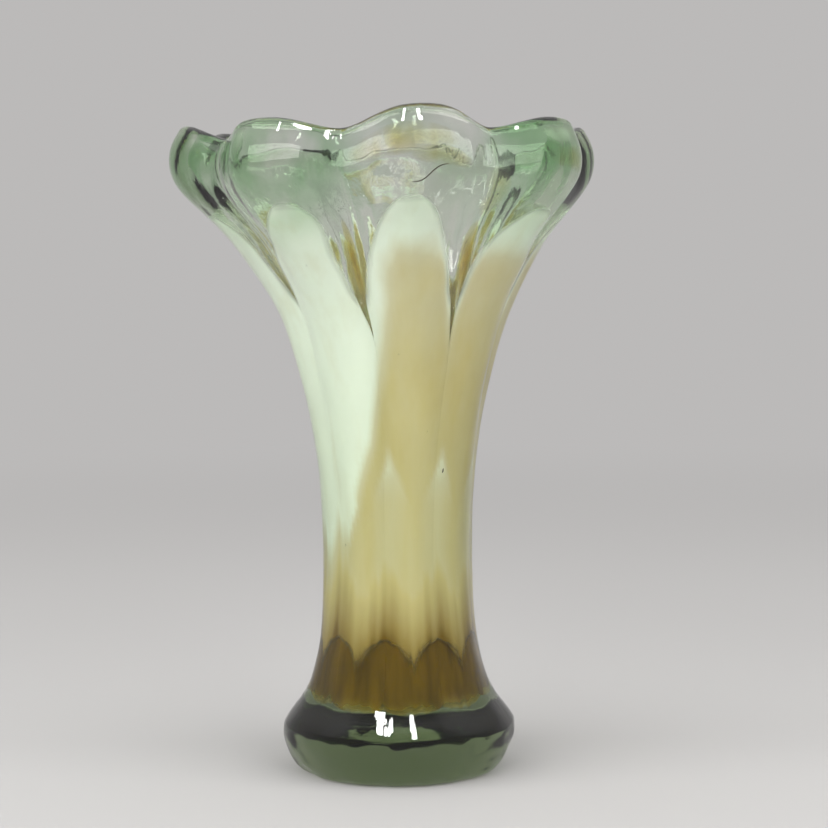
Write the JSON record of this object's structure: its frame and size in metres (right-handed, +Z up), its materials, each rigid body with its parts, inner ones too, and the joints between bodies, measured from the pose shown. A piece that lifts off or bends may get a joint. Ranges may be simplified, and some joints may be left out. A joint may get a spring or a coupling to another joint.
{
  "type": "vase",
  "caption": "Hand blown trumpet vase: thick clear ribbed glass with a lobed flared mouth and heavy foot, cased over opal white petals backed with amber.",
  "frame": {"origin": "on the surface the vase stands on, under the centre of the whole vase's box", "axes": "+Z up along the vase's height; -Y is the front, +X is to the right"},
  "size_m": [0.1667, 0.1661, 0.2553],
  "materials": {
    "clear_glass": "clear with a faint green tint, fire polished",
    "opal_glass": "milky white to cream opal glass",
    "amber_glass": "transparent amber"
  },
  "bodies": {
    "root": {"clear_casing": "clear_glass", "clear_foot": "clear_glass", "opal_petal_1": "opal_glass", "opal_petal_2": "opal_glass", "opal_petal_3": "opal_glass", "opal_petal_4": "opal_glass", "opal_petal_5": "opal_glass", "opal_petal_6": "opal_glass", "opal_petal_7": "opal_glass", "opal_petal_8": "opal_glass", "amber_petal_1": "amber_glass", "amber_petal_2": "amber_glass", "amber_petal_3": "amber_glass", "amber_petal_4": "amber_glass", "amber_petal_5": "amber_glass", "amber_petal_6": "amber_glass", "amber_petal_7": "amber_glass", "amber_petal_8": "amber_glass"}
  },
  "joints": []
}
